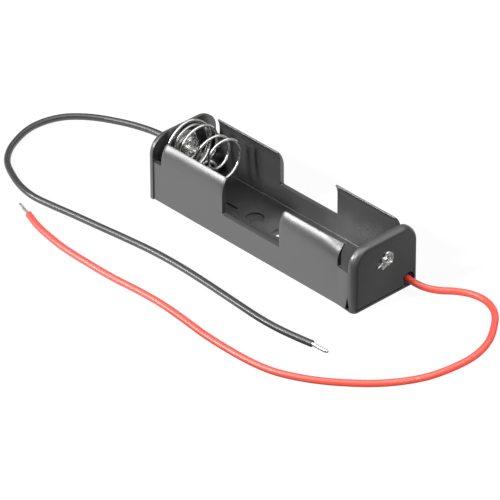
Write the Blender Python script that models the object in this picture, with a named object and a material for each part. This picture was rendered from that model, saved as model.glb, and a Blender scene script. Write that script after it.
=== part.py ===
"""Holder for a single AA cell, with two wire leads.

A moulded tray carries the cell between two riveted contacts. The frame is +X towards the positive end,
+Y towards the side where the leads leave, +Z up, with the origin under the middle of the tray.
Sizes are in metres.
"""
import math

import bmesh
import bpy
from mathutils import Vector

MM = 0.001

# Cell bay
BAY_WIDTH = 14.7 * MM
AXIS_HEIGHT = 9.2 * MM
TRAY_LENGTH = 58.6 * MM

# Tray walls
SIDE_WALL = 0.95 * MM
FLOOR = 1.4 * MM
FLOOR_FILLET = 0.5 * MM
BASE_EDGE = 0.15 * MM
LOW_WALL_HEIGHT = 5.5 * MM
LEDGE_HEIGHT = 8.7 * MM
EDGE_BREAK = 0.1 * MM

# Snap clips: the side walls carried up, leaning in over the cell and thinning to a lip
CLIP_START = 9.5 * MM
CLIP_RADIUS = 6.0 * MM
CLIP_ANGLE = math.radians(40)
CLIP_LIP = 0.3 * MM
CLIP_INNER_RADIUS = 3.5 * MM
MIDDLE_GAP = 16.1 * MM
NEGATIVE_NOTCH = 2.3 * MM
POSITIVE_NOTCH = 3.2 * MM

# End walls
END_HEIGHT = 13.8 * MM
END_STEP = 0.12 * MM
END_CORNER = 4.0 * MM
END_EDGE = 0.8 * MM
END_FOOT_EDGE = 0.25 * MM
NEGATIVE_WALL = 1.4 * MM
POSITIVE_WALL = 1.8 * MM

# Holes and marks in the tray
SCREW_HOLE = 3.2 * MM
MARK_DIAMETER = 3.7 * MM
MARK_DEPTH = 0.3 * MM
MARK_OFFSET = 7.6 * MM
LEAD_HOLE = 3.0 * MM
LEAD_HOLE_Y = 5.95 * MM
LEAD_HOLE_Z = 1.9 * MM
LEAD_GROOVE = 3.4 * MM
RELIEF_WIDTH = 1.2 * MM
RELIEF_HEIGHT = 3.3 * MM
RELIEF_FOOT = 0.3 * MM
RELIEF_DEPTH = 0.55 * MM

# Contacts
SEAT_GAP = 0.3 * MM
PLATE_THICKNESS = 0.35 * MM
PLATE_DIAMETER = 6.4 * MM
TAB_WIDTH = 2.4 * MM
TAB_ANGLE = math.radians(-46)
EYELET_BARREL = 2.0 * MM
EYELET_BORE = 1.3 * MM
EYELET_HEAD = 3.2 * MM
EYELET_ROLL = 0.5 * MM
SOLDER_DIAMETER = 2.0 * MM
SOLDER_HEIGHT = 0.8 * MM

# Contact spring: a loop round the eyelet, a spiral out to the wide base turn, then the uneven free turns.
# The knots are half a turn apart and start at the top of the base turn. Each advance is in millimetres
# along the bay, and each radius is a share of the base turn's radius.
WIRE = 0.6 * MM
SPRING_LOOP_RADIUS = 1.7 * MM
SPRING_BASE_RADIUS = 5.8 * MM
SPRING_LOOP_TURNS = 0.8
SPRING_SPREAD_TURNS = 1.5
SPRING_BASE_TURNS = 0.5
SPRING_ADVANCE = [0.0, 2.1, 3.3, 4.6, 7.3, 8.5, 9.9, 10.8, 11.9]
SPRING_RADIUS = [1.0, 0.793, 0.897, 0.586, 0.655, 0.552, 0.569, 0.828, 0.966]
SPRING_FREE_TURNS = 3.75
SPRING_LEAN = 0.25
SPRING_STEPS = 26

# Leads
LEAD_DIAMETER = 1.4 * MM
CORE_DIAMETER = 0.75 * MM
HOLE_EMBED = 0.4 * MM
LEAD_STEP = 3.7 * MM
ROOT_INSULATION = 3.2 * MM
ROOT_RISE = 0.7 * MM

# Centreline points of each lead in millimetres, from its exit in the end wall to the stripped end.
# X runs outwards from the exit, Y is across, and Z is the height above the surface.
RED_ROUTE = [
    (0.0, 5.95, 1.9), (2.3, 5.9, 1.8), (4.5, 6.7, 1.4), (6.4, 8.4, 0.95), (8.4, 10.6, 0.72),
    (11.3, 12.2, 0.7), (14.9, 12.5, 0.7), (18.7, 10.9, 0.7), (22.0, 7.5, 0.7), (25.1, 2.7, 0.7),
    (26.6, -2.7, 0.7), (26.5, -8.2, 0.7), (25.4, -13.5, 0.7), (23.2, -18.0, 0.7), (20.3, -22.0, 0.7),
    (16.9, -25.4, 0.7), (13.1, -28.5, 0.7), (9.1, -31.0, 0.7), (4.6, -33.0, 0.7), (-0.4, -34.0, 0.7),
    (-6.9, -34.3, 0.7), (-13.9, -34.1, 0.7), (-20.9, -33.4, 0.7), (-27.4, -32.95, 0.7),
    (-33.9, -33.1, 0.7), (-40.9, -33.6, 0.7), (-47.9, -33.65, 0.7), (-54.9, -33.45, 0.7),
    (-60.4, -32.7, 0.7), (-64.7, -31.8, 0.7), (-68.8, -30.4, 0.7),
]
BLACK_ROUTE = [
    (0.0, 5.95, 1.9), (2.1, 6.05, 1.85), (4.6, 6.5, 1.6), (7.6, 7.2, 1.15), (11.1, 8.0, 0.8),
    (14.6, 8.3, 0.7), (18.1, 7.8, 0.7), (21.9, 6.7, 0.7), (25.6, 5.1, 0.7), (28.9, 3.3, 0.7),
    (31.8, 1.0, 0.7), (34.0, -1.8, 0.7), (35.2, -5.4, 0.7), (35.2, -9.3, 0.7), (33.8, -13.6, 0.7),
    (31.6, -17.6, 0.7), (28.4, -20.9, 0.7), (24.1, -23.2, 0.7), (19.6, -24.8, 0.7), (15.1, -25.4, 0.7),
    (10.1, -24.9, 0.7), (4.6, -24.1, 0.7), (-1.9, -23.3, 0.7), (-8.9, -22.4, 0.7), (-15.9, -21.7, 0.7),
    (-23.4, -21.5, 0.7), (-31.4, -21.8, 0.7), (-39.5, -22.3, 0.7), (-46.9, -22.7, 0.7),
    (-51.9, -22.6, 0.7), (-56.5, -22.1, 0.7), (-60.3, -21.5, 0.7),
]
RED_TIP_LENGTH = 4.6 * MM
BLACK_TIP_LENGTH = 3.4 * MM

# Derived places
HALF_LENGTH = TRAY_LENGTH / 2
HALF_BAY = BAY_WIDTH / 2
HALF_SIDE = HALF_BAY + SIDE_WALL
HALF_END = HALF_SIDE + END_STEP
NEGATIVE, POSITIVE = -1, 1
WALLS = {NEGATIVE: NEGATIVE_WALL, POSITIVE: POSITIVE_WALL}
WIRE_DEPTH = NEGATIVE_WALL + SEAT_GAP + PLATE_THICKNESS + SEAT_GAP + WIRE / 2
TAB_REACH = SPRING_BASE_RADIUS + SOLDER_DIAMETER / 2


def clear_scene():
    for item in list(bpy.data.objects):
        bpy.data.objects.remove(item, do_unlink=True)


def make_material(name, colour, metallic, roughness):
    material = bpy.data.materials.new(name)
    material.use_nodes = True
    shader = material.node_tree.nodes["Principled BSDF"]
    shader.inputs["Base Color"].default_value = (*colour, 1.0)
    shader.inputs["Metallic"].default_value = metallic
    shader.inputs["Roughness"].default_value = roughness
    return material


def finish_object(name, bm, material):
    """Turn a bmesh into an object whose round surfaces are shaded smooth."""
    bmesh.ops.recalc_face_normals(bm, faces=bm.faces)
    mesh = bpy.data.meshes.new(name)
    bm.to_mesh(mesh)
    bm.free()
    mesh.shade_smooth()
    mesh.set_sharp_from_angle(angle=math.radians(32))
    item = bpy.data.objects.new(name, mesh)
    bpy.context.collection.objects.link(item)
    if material:
        mesh.materials.append(material)
    return item


def make_helper(name, bm):
    """A solid that only cuts or joins another one."""
    item = finish_object(name, bm, None)
    item.hide_render = True
    item.display_type = "WIRE"
    return item


def combine(target, helper, operation):
    modifier = target.modifiers.new(helper.name, "BOOLEAN")
    modifier.operation = operation
    modifier.solver = "EXACT"
    modifier.object = helper


def add_loft(bm, rings, closed=False):
    """Skin a row of point rings, with a cap on each end unless the row is closed on itself."""
    loops = [[bm.verts.new(point) for point in ring] for ring in rings]
    count = len(loops[0])
    pairs = list(zip(loops, loops[1:]))
    if closed:
        pairs.append((loops[-1], loops[0]))
    for near, far in pairs:
        for i in range(count):
            j = (i + 1) % count
            bm.faces.new((near[i], near[j], far[j], far[i]))
    if not closed:
        bm.faces.new(loops[0])
        bm.faces.new(loops[-1])


def add_box(bm, low, high):
    ring = [(low[0], low[1]), (high[0], low[1]), (high[0], high[1]), (low[0], high[1])]
    add_loft(bm, [[(x, y, z) for x, y in ring] for z in (low[2], high[2])])


def add_rod(bm, start, end, radius, sides=28):
    """A round bar between two points on a line along X or along Z."""
    start = Vector(start)
    axis = (Vector(end) - start).normalized()
    across = axis.orthogonal().normalized()
    up = axis.cross(across)
    turn = [2 * math.pi * i / sides for i in range(sides)]
    ring = [radius * (math.cos(a) * across + math.sin(a) * up) for a in turn]
    add_loft(bm, [[centre + point for point in ring] for centre in (start, Vector(end))])


def arc(centre, radius, start, end, steps):
    """Points on an arc in a plane, from one angle to another."""
    angles = [start + (end - start) * i / steps for i in range(steps + 1)]
    return [(centre[0] + radius * math.cos(a), centre[1] + radius * math.sin(a)) for a in angles]


def ring_points(radius, count, start=0.0):
    """Evenly spaced points on a circle."""
    angles = [start + 2 * math.pi * i / count for i in range(count)]
    return [(radius * math.cos(a), radius * math.sin(a)) for a in angles]


def channel_section():
    """Section of the tray across the bay: floor, side walls and clips, as (y, z) points."""
    quarter = math.pi / 2
    bend = (HALF_SIDE - CLIP_RADIUS, CLIP_START)
    right = arc((HALF_SIDE - BASE_EDGE, BASE_EDGE), BASE_EDGE, -quarter, 0, 3)
    right += arc(bend, CLIP_RADIUS, 0, CLIP_ANGLE, 10)
    lip = (right[-1][0] - CLIP_LIP * math.cos(CLIP_ANGLE), right[-1][1] - CLIP_LIP * math.sin(CLIP_ANGLE))
    inner_angle = math.acos(1 - (HALF_BAY - lip[0]) / CLIP_INNER_RADIUS)
    inner_start = lip[1] - CLIP_INNER_RADIUS * math.sin(inner_angle)
    inner_bend = (HALF_BAY - CLIP_INNER_RADIUS, inner_start)
    right += arc(inner_bend, CLIP_INNER_RADIUS, inner_angle, 0, 8)
    corner = (HALF_BAY - FLOOR_FILLET, FLOOR + FLOOR_FILLET)
    right += arc(corner, FLOOR_FILLET, 0, -quarter, 4)
    left = [(-y, z) for y, z in reversed(right)]
    return right + left


def end_outline(inset, foot_inset):
    """Outline of an end wall: upright sides and a round-cornered top, shrunk by an inset."""
    side = HALF_END - inset
    top = END_HEIGHT - inset
    corner = max(END_CORNER - inset, EDGE_BREAK)
    quarter = math.pi / 2
    points = [(side, foot_inset)]
    points += arc((side - corner, top - corner), corner, 0, quarter, 10)
    points += arc((corner - side, top - corner), corner, quarter, 2 * quarter, 10)
    points.append((-side, foot_inset))
    return points


def end_wall_solid(end):
    """End wall with a rounded outer rim, lofted from its inner face to its outer face."""
    rounding = [math.pi / 2 * i / 5 for i in range(6)]
    sections = [(HALF_LENGTH - WALLS[end], 0.0)]
    sections += [(HALF_LENGTH - END_EDGE * (1 - math.sin(a)), 1 - math.cos(a)) for a in rounding]
    rings = []
    for x, share in sections:
        outline = end_outline(END_EDGE * share, END_FOOT_EDGE * share)
        rings.append([(end * x, y, z) for y, z in outline])
    bm = bmesh.new()
    add_loft(bm, rings)
    return bm


def wall_gaps():
    """Spaces cut from the curled side walls, which leave the clips, ledges and low middle wall."""
    reach = HALF_SIDE + MM
    top = END_HEIGHT + MM
    negative_clip = -HALF_LENGTH + NEGATIVE_WALL + NEGATIVE_NOTCH
    positive_clip = HALF_LENGTH - POSITIVE_WALL - POSITIVE_NOTCH
    bm = bmesh.new()
    add_box(bm, (-HALF_LENGTH - MM, -reach, LEDGE_HEIGHT), (negative_clip, reach, top))
    add_box(bm, (-MIDDLE_GAP / 2, -reach, LOW_WALL_HEIGHT), (MIDDLE_GAP / 2, reach, top))
    add_box(bm, (positive_clip, -reach, LEDGE_HEIGHT), (HALF_LENGTH + MM, reach, top))
    return bm


def round_holes():
    """Screw hole, eyelet holes and lead holes."""
    bm = bmesh.new()
    add_rod(bm, (0, 0, -MM), (0, 0, FLOOR + MM), SCREW_HOLE / 2)
    eyelet_hole = EYELET_BARREL / 2 + SEAT_GAP
    for end in (NEGATIVE, POSITIVE):
        outside = end * (HALF_LENGTH + MM)
        inside = end * (HALF_LENGTH - WALLS[end] - MM)
        add_rod(bm, (inside, 0, AXIS_HEIGHT), (outside, 0, AXIS_HEIGHT), eyelet_hole)
        groove_end = end * (HALF_LENGTH - WALLS[end] - LEAD_GROOVE)
        start = (groove_end, LEAD_HOLE_Y, LEAD_HOLE_Z)
        add_rod(bm, start, (outside, LEAD_HOLE_Y, LEAD_HOLE_Z), LEAD_HOLE / 2)
    return bm


def floor_marks():
    """Shallow round marks in the floor, either side of the screw hole."""
    bm = bmesh.new()
    for side in (-1, 1):
        x = side * MARK_OFFSET
        add_rod(bm, (x, 0, FLOOR - MARK_DEPTH), (x, 0, FLOOR + MM), MARK_DIAMETER / 2, 32)
    return bm


def corner_reliefs():
    """Narrow wedges low on the side walls, where they meet the positive end wall."""
    middle = HALF_LENGTH - POSITIVE_WALL - RELIEF_WIDTH / 5
    foot = (middle - RELIEF_WIDTH / 2, middle + RELIEF_WIDTH / 2)
    bm = bmesh.new()
    for side in (-1, 1):
        depths = (side * (HALF_SIDE - RELIEF_DEPTH), side * (HALF_SIDE + MM))
        wedge = [(foot[0], RELIEF_FOOT), (foot[1], RELIEF_FOOT), (middle, RELIEF_HEIGHT)]
        add_loft(bm, [[(x, y, z) for x, z in wedge] for y in depths])
    return bm


def build_tray(material):
    bm = bmesh.new()
    inner = HALF_LENGTH - END_EDGE + EDGE_BREAK
    add_loft(bm, [[(x, y, z) for y, z in channel_section()] for x in (-inner, inner)])
    tray = finish_object("holder_tray", bm, material)
    combine(tray, make_helper("wall_gap_cutter", wall_gaps()), "DIFFERENCE")
    combine(tray, make_helper("negative_end_form", end_wall_solid(NEGATIVE)), "UNION")
    combine(tray, make_helper("positive_end_form", end_wall_solid(POSITIVE)), "UNION")
    combine(tray, make_helper("relief_cutter", corner_reliefs()), "DIFFERENCE")
    combine(tray, make_helper("mark_cutter", floor_marks()), "DIFFERENCE")
    combine(tray, make_helper("hole_cutter", round_holes()), "DIFFERENCE")
    edge = tray.modifiers.new("edge_break", "BEVEL")
    edge.width = EDGE_BREAK
    edge.segments = 1
    edge.limit_method = "ANGLE"
    edge.angle_limit = math.radians(50)
    return tray


def depth_x(end, depth):
    """X of a plane at a depth inwards from the outer face of an end wall."""
    return end * (HALF_LENGTH - depth)


def plate_front(end):
    """Depth of the plate's bay side, which everything fixed to the plate is stacked on."""
    return WALLS[end] + SEAT_GAP + PLATE_THICKNESS


def build_contact_plate(name, end, material):
    """Round plate on the seat, with a solder tab that reaches towards the lead hole."""
    eyelet_hole = EYELET_BARREL / 2 + SEAT_GAP
    radius = PLATE_DIAMETER / 2
    half_tab = TAB_WIDTH / 2
    tab_side = math.asin(half_tab / radius)
    outer = arc((0, 0), radius, TAB_ANGLE + tab_side, TAB_ANGLE + 2 * math.pi - tab_side, 26)
    tab_end = (TAB_REACH * math.cos(TAB_ANGLE), TAB_REACH * math.sin(TAB_ANGLE))
    outer += arc(tab_end, half_tab, TAB_ANGLE - math.pi / 2, TAB_ANGLE + math.pi / 2, 8)
    inner = ring_points(eyelet_hole, len(outer), math.atan2(outer[0][1], outer[0][0]))
    back = depth_x(end, WALLS[end] + SEAT_GAP)
    front = depth_x(end, plate_front(end))
    rings = []
    for x, outline in ((back, outer), (front, outer), (front, inner), (back, inner)):
        rings.append([(x, u, AXIS_HEIGHT + v) for u, v in outline])
    bm = bmesh.new()
    add_loft(bm, rings, closed=True)
    return finish_object(name, bm, material)


def eyelet_profile(outer_face, inner_face):
    """Half section of an eyelet as (depth, radius) points, clockwise from the barrel's outer end."""
    barrel = EYELET_BARREL / 2
    bore = EYELET_BORE / 2
    head = EYELET_HEAD / 2
    roll = EYELET_ROLL / 2
    points = [(outer_face, barrel)]
    points += arc((outer_face - roll, head - roll), roll, 0, math.pi, 6)
    points += [(outer_face - roll, bore + roll / 2), (outer_face - roll / 2, bore)]
    points += [(inner_face + roll / 2, bore), (inner_face + roll, bore + roll / 2)]
    points += arc((inner_face + roll, head - roll), roll, 0, math.pi, 6)
    points += [(inner_face, barrel)]
    return points


def revolve(name, end, profile, material, sides=24):
    """Turn a closed (depth, radius) profile round the cell axis."""
    rings = []
    for i in range(sides):
        angle = 2 * math.pi * i / sides
        ring = []
        for depth, radius in profile:
            y = radius * math.cos(angle)
            z = AXIS_HEIGHT + radius * math.sin(angle)
            ring.append((depth_x(end, depth), y, z))
        rings.append(ring)
    bm = bmesh.new()
    add_loft(bm, rings, closed=True)
    return finish_object(name, bm, material)


def build_eyelet(name, end, stack_depth, material):
    """Hollow rivet: a barrel through the wall with a rolled head on each side."""
    return revolve(name, end, eyelet_profile(-SEAT_GAP, stack_depth + SEAT_GAP), material)


def smooth_value(knots, place):
    """Value on a Catmull-Rom curve through evenly spaced knots."""
    padded = [2 * knots[0] - knots[1]] + knots + [2 * knots[-1] - knots[-2]]
    i = min(int(place), len(knots) - 2)
    a, b, c, d = padded[i:i + 4]
    t = place - i
    return 0.5 * (2 * b + (c - a) * t + (2 * a - 5 * b + 4 * c - d) * t ** 2
                  + (3 * b - a - 3 * c + d) * t ** 3)


def spring_point(turn):
    """Centre of the spring wire after a number of turns from the top of the base turn."""
    base = -HALF_LENGTH + WIRE_DEPTH
    spread = SPRING_BASE_RADIUS - SPRING_LOOP_RADIUS
    if turn < 0:
        advance = 0.0
        share = (turn + SPRING_BASE_TURNS) / SPRING_SPREAD_TURNS
        radius = SPRING_BASE_RADIUS + spread * min(max(share, -1.0), 0.0)
    else:
        advance = max(smooth_value(SPRING_ADVANCE, 2 * turn), 0.0) * MM
        radius = smooth_value(SPRING_RADIUS, 2 * turn) * SPRING_BASE_RADIUS
    axis = AXIS_HEIGHT + SPRING_LEAN * advance
    angle = 2 * math.pi * turn
    return Vector((base + advance, radius * math.sin(angle), axis + radius * math.cos(angle)))


def add_tube(name, points, radii, sides, material):
    """Sweep a ring of a varying radius along a row of points."""
    rings = []
    across = None
    for i, point in enumerate(points):
        ahead = points[min(i + 1, len(points) - 1)]
        behind = points[max(i - 1, 0)]
        along = (ahead - behind).normalized()
        if across is None:
            across = along.orthogonal()
        across = (across - along * across.dot(along)).normalized()
        up = along.cross(across)
        ring = []
        for k in range(sides):
            angle = 2 * math.pi * k / sides
            ring.append(point + radii[i] * (math.cos(angle) * across + math.sin(angle) * up))
        rings.append(ring)
    bm = bmesh.new()
    add_loft(bm, rings)
    return finish_object(name, bm, material)


def build_spring(material):
    first = -SPRING_BASE_TURNS - SPRING_SPREAD_TURNS - SPRING_LOOP_TURNS
    last = SPRING_FREE_TURNS
    count = int((last - first) * SPRING_STEPS)
    turns = [first + (last - first) * i / count for i in range(count + 1)]
    points = [spring_point(turn) for turn in turns]
    return add_tube("contact_spring", points, [WIRE / 2] * len(points), 8, material)


def lead_exit(end):
    return Vector((depth_x(end, HOLE_EMBED), LEAD_HOLE_Y, LEAD_HOLE_Z))


def route_points(route, end):
    """Route points in metres, placed from the lead's exit."""
    start = lead_exit(end)
    return [Vector((start.x + end * x * MM, y * MM, z * MM)) for x, y, z in route]


def smooth_path(points, step):
    """Even points on a Catmull-Rom curve through the route's points."""
    padded = [2 * points[0] - points[1]] + points + [2 * points[-1] - points[-2]]
    fine = []
    for a, b, c, d in zip(padded, padded[1:], padded[2:], padded[3:]):
        for i in range(24):
            t = i / 24
            fine.append(0.5 * (2 * b + (c - a) * t + (2 * a - 5 * b + 4 * c - d) * t ** 2
                               + (3 * b - a - 3 * c + d) * t ** 3))
    fine.append(points[-1])
    lengths = [0.0]
    for p, q in zip(fine, fine[1:]):
        lengths.append(lengths[-1] + (q - p).length)
    count = max(round(lengths[-1] / step), 2)
    even = []
    k = 0
    for i in range(count + 1):
        target = lengths[-1] * i / count
        while k < len(fine) - 2 and lengths[k + 1] < target:
            k += 1
        share = (target - lengths[k]) / (lengths[k + 1] - lengths[k])
        even.append(fine[k].lerp(fine[k + 1], min(share, 1.0)))
    return even


def add_cord_curve(name, points, diameter, material):
    curve = bpy.data.curves.new(name, "CURVE")
    curve.dimensions = "3D"
    curve.bevel_depth = diameter / 2
    curve.bevel_resolution = 2
    curve.render_resolution_u = 0
    curve.use_fill_caps = True
    spline = curve.splines.new("POLY")
    spline.points.add(len(points) - 1)
    for target, point in zip(spline.points, points):
        target.co = (*point, 1.0)
    curve.materials.append(material)
    item = bpy.data.objects.new(name, curve)
    bpy.context.collection.objects.link(item)
    return item


def build_lead(colour, route, end, tip_length, cover, tinned):
    """Free lead outside the tray, with its stripped and tinned end."""
    path = smooth_path(route_points(route, end), LEAD_STEP)
    add_cord_curve(colour + "_lead", path, LEAD_DIAMETER, cover)
    along = (path[-1] - path[-2]).normalized()
    start = path[-1] + along * SEAT_GAP
    drop = Vector((0, 0, CORE_DIAMETER / 2 - start.z))
    middle = start + along * tip_length * 0.45 + drop * 0.75
    finish = start + along * tip_length + drop
    tip = smooth_path([start, middle, finish], tip_length / 6)
    add_cord_curve(colour + "_tinned_end", tip, CORE_DIAMETER, tinned)


def tab_centre(end, depth):
    """Centre of a solder tab's round end at a depth from the outer face."""
    y = TAB_REACH * math.cos(TAB_ANGLE)
    z = AXIS_HEIGHT + TAB_REACH * math.sin(TAB_ANGLE)
    return Vector((depth_x(end, depth), y, z))


def build_lead_root(colour, end, cover):
    """Lead inside the tray: the cover ends in the floor groove and the bare core rises to the tab."""
    start = lead_exit(end) - Vector((end * SEAT_GAP, 0, 0))
    cover_end = start - Vector((end * ROOT_INSULATION, 0, 0))
    solder_top = plate_front(end) + SEAT_GAP + SOLDER_HEIGHT + SEAT_GAP
    finish = tab_centre(end, solder_top + CORE_DIAMETER / 2)
    knee = cover_end - Vector((end * ROOT_RISE, 0, -ROOT_RISE / 2))
    points = [start, start.lerp(cover_end, 0.5), cover_end]
    radii = [LEAD_DIAMETER / 2] * 3
    bare = smooth_path([cover_end - Vector((end * EDGE_BREAK, 0, 0)), knee, finish], 0.5 * MM)
    points += bare
    radii += [CORE_DIAMETER / 2] * len(bare)
    return add_tube(colour + "_lead_root", points, radii, 10, cover)


def build_solder_joint(name, end, material):
    """Low dome of solder on the tab."""
    centre = tab_centre(end, 0)
    radius = SOLDER_DIAMETER / 2
    rings = []
    for share in (0.0, 0.3, 0.6, 0.85, 0.97):
        depth = plate_front(end) + SEAT_GAP + SOLDER_HEIGHT * share
        size = radius * math.sqrt(1 - share ** 2)
        outline = ring_points(size, 14)
        rings.append([(depth_x(end, depth), centre.y + u, centre.z + v) for u, v in outline])
    bm = bmesh.new()
    add_loft(bm, rings)
    return finish_object(name, bm, material)


def main():
    clear_scene()
    moulding = make_material("black_moulding", (0.022, 0.022, 0.024), 0.0, 0.3)
    nickel = make_material("nickel_plate", (0.72, 0.71, 0.68), 1.0, 0.22)
    red_cover = make_material("red_lead_cover", (0.72, 0.03, 0.02), 0.0, 0.38)
    black_cover = make_material("black_lead_cover", (0.02, 0.02, 0.022), 0.0, 0.35)
    tinned = make_material("tinned_core", (0.7, 0.68, 0.65), 1.0, 0.4)

    build_tray(moulding)
    build_contact_plate("negative_contact_plate", NEGATIVE, nickel)
    build_contact_plate("positive_contact_plate", POSITIVE, nickel)
    build_eyelet("negative_eyelet", NEGATIVE, WIRE_DEPTH + WIRE / 2, nickel)
    build_eyelet("positive_eyelet", POSITIVE, plate_front(POSITIVE), nickel)
    build_spring(nickel)
    build_lead("red", RED_ROUTE, POSITIVE, RED_TIP_LENGTH, red_cover, tinned)
    build_lead("black", BLACK_ROUTE, NEGATIVE, BLACK_TIP_LENGTH, black_cover, tinned)
    build_lead_root("red", POSITIVE, red_cover)
    build_lead_root("black", NEGATIVE, black_cover)
    build_solder_joint("positive_solder_joint", POSITIVE, tinned)
    build_solder_joint("negative_solder_joint", NEGATIVE, tinned)


main()
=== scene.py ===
"""Looks of a holder for one AA cell with two wire leads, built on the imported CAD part.

The frame is +X towards the positive end, +Y towards the side where the leads leave, and +Z up.
Sizes are in metres, and lists of route or profile points are in millimetres.
"""
import math

import bmesh
import bpy
from mathutils import Matrix, Vector


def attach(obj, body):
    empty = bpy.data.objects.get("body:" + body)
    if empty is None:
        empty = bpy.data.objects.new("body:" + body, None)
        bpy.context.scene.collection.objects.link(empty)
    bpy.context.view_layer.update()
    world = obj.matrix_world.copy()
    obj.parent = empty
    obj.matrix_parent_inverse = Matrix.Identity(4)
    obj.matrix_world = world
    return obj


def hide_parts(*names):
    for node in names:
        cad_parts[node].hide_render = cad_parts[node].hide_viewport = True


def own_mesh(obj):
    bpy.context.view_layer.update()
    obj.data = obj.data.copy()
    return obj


bl_info = {
    "name": "Cell holder looks",
    "version": (1, 0, 0),
    "blender": (4, 5, 0),
    "location": "3D View > Sidebar > Cell Holder",
    "description": "Moulded holder for one cell, with spring contact, riveted plates and wire leads",
    "category": "Object",
}

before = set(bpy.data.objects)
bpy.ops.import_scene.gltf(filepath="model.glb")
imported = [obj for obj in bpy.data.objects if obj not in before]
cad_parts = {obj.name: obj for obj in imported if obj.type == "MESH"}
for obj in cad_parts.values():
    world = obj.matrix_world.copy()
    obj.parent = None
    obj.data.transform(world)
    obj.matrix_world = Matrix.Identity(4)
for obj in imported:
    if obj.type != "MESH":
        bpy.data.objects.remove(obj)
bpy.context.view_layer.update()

MM = 0.001
QUARTER = math.pi / 2
BODY = "holder"
ENDS = {"negative": -1, "positive": 1}
# Edges sharper than the first angle are shaded sharp, and the tray's edges past the second are rounded
SHARP_ANGLE = math.radians(35)
ROUNDED_ANGLE = math.radians(50)

# Moulded tray
HALF_LENGTH = 29.3 * MM
HALF_BAY = 7.35 * MM
HALF_SIDE = 8.3 * MM
SIDE_WALL = 0.95 * MM
HALF_END = 8.55 * MM
FLOOR = 1.4 * MM
FLOOR_FILLET = 0.14 * MM
BASE_EDGE = 0.15 * MM
AXIS_HEIGHT = 9.2 * MM
LOW_WALL_HEIGHT = 5.5 * MM
LEDGE_HEIGHT = 8.7 * MM
CLIP_START = 9.5 * MM
CLIP_RADIUS = 6.0 * MM
CLIP_ANGLE = math.radians(40)
CLIP_LIP = 0.3 * MM
CLIP_INNER_RADIUS = 3.5 * MM
CLIP_CORNER = 0.45 * MM
NOTCH_FOOT = 0.3 * MM
HALF_GAP = 8.05 * MM
CLIP_A_START = -25.6 * MM
CLIP_B_END = {-1: 24.3 * MM, 1: 24.75 * MM}
# Extra curl of the near clips at their free ends: place along the bay, share and reach
NEAR_CURLS = [(-25.6 * MM, 0.12, 3.0 * MM), (24.3 * MM, 0.3, 2.2 * MM)]
END_HEIGHT = {-1: 13.93 * MM, 1: 13.85 * MM}
END_CORNER = 4.0 * MM
END_RIM = {-1: (1.0 * MM, 0.95 * MM), 1: (1.4 * MM, 0.95 * MM)}
WALL_FLARE = (24.2 * MM, 27.2 * MM, 0.25 * MM)
END_FOOT_EDGE = 0.25 * MM
WALLS = {-1: 1.4 * MM, 1: 1.8 * MM}
TRAY_EDGE = 0.1 * MM
# Cutters of the side walls: the height of the clips' corners, their top and inner side
CLIP_SHOULDER = 13.3 * MM
GAP_TOP = 14.8 * MM
GAP_INSIDE = 3 * MM
# How far any cutter reaches past what it cuts
BEYOND = 1 * MM
SCREW_HOLE = 3.2 * MM
MARK_OFFSET = 7.6 * MM
MARK_DIAMETER = 3.7 * MM
MARK_DEPTH = 0.3 * MM
BAR_PLACE = (13.8 * MM, -0.35 * MM)
BAR_SIZE = (3.0 * MM, 0.6 * MM)
BAR_DEPTH = 0.35 * MM
LEAD_HOLE = (5.95 * MM, 1.9 * MM)
LEAD_HOLE_RADII = (1.5 * MM, 2.0 * MM)
LEAD_GROOVE = 3.4 * MM
LEAD_EXIT_X = 28.9 * MM
FOOT_LINE = ((-8.1 * MM, 0.72 * MM), (4.4 * MM, 0.92 * MM))
FOOT_LINE_DEPTH = 0.5 * MM
RELIEF = {"middle": 27.26 * MM, "width": 1.2 * MM, "height": 3.3 * MM, "foot": 0.3 * MM, "depth": 0.55 * MM}

# Contacts: depths are inwards from the outer face of an end wall
PLATE_FRONT = {-1: 2.05 * MM, 1: 2.45 * MM}
PLATE_RADIUS = 3.2 * MM
PLATE_HOLE = 1.3 * MM
TAB_WIDTH = 2.4 * MM
TAB_REACH = 6.8 * MM
TAB_ANGLE = math.radians(-46)
TAB_CORNER = 0.5 * MM
# Plate from the rivet's edge of its front round to its back, as depth from its front and share of its outline
PLATE_PROFILE = [(0.0, 0.5), (0.0, 0.72), (0.06, 0.8), (0.22, 0.9), (0.3, 0.97), (0.42, 1.0), (0.58, 0.99),
                 (0.62, 0.95), (0.52, 0.87), (0.35, 0.76), (0.3, 0.7)]
PLATE_SHEET = 0.3
RIVET_HOLE = 1.2 * MM
RIVET_BARREL = 1.0 * MM
RIVET_BORE = 0.5 * MM
RIVET_SIDES = 120
HEAD_RADIUS = 1.6 * MM
# Heads as height and share of the head's radius, from the barrel over the rim to the bore
ROLLED_HEAD = [(0.0, 0.7), (0.02, 0.88), (0.14, 0.98), (0.26, 1.0), (0.4, 0.94), (0.49, 0.82), (0.5, 0.72),
               (0.44, 0.6), (0.3, 0.5), (0.1, 0.42)]
STAR_HEAD = [(0.0, 0.7), (0.0, 0.92), (0.08, 1.0), (0.2, 1.0), (0.32, 0.93), (0.34, 0.84), (0.24, 0.72),
             (0.3, 0.6), (0.34, 0.5), (0.2, 0.38), (0.02, 0.32)]
STAR_RIPPLE = [0, 0, 0, 0.03, 0.06, 0.08, 0.19, 0.23, 0.2, 0.1, 0]
# Share of a head's radius past which its petals reach out
HEAD_RIM = 0.6
# Torn petals of the two star heads: angle round the head, reach and half width in degrees
POSITIVE_PETALS = [(234, 2.3, 20), (201, 2.9, 7), (135, 1.2, 12)]
NEGATIVE_PETALS = [(150, 2.1, 25), (20, 1.8, 12)]
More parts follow.
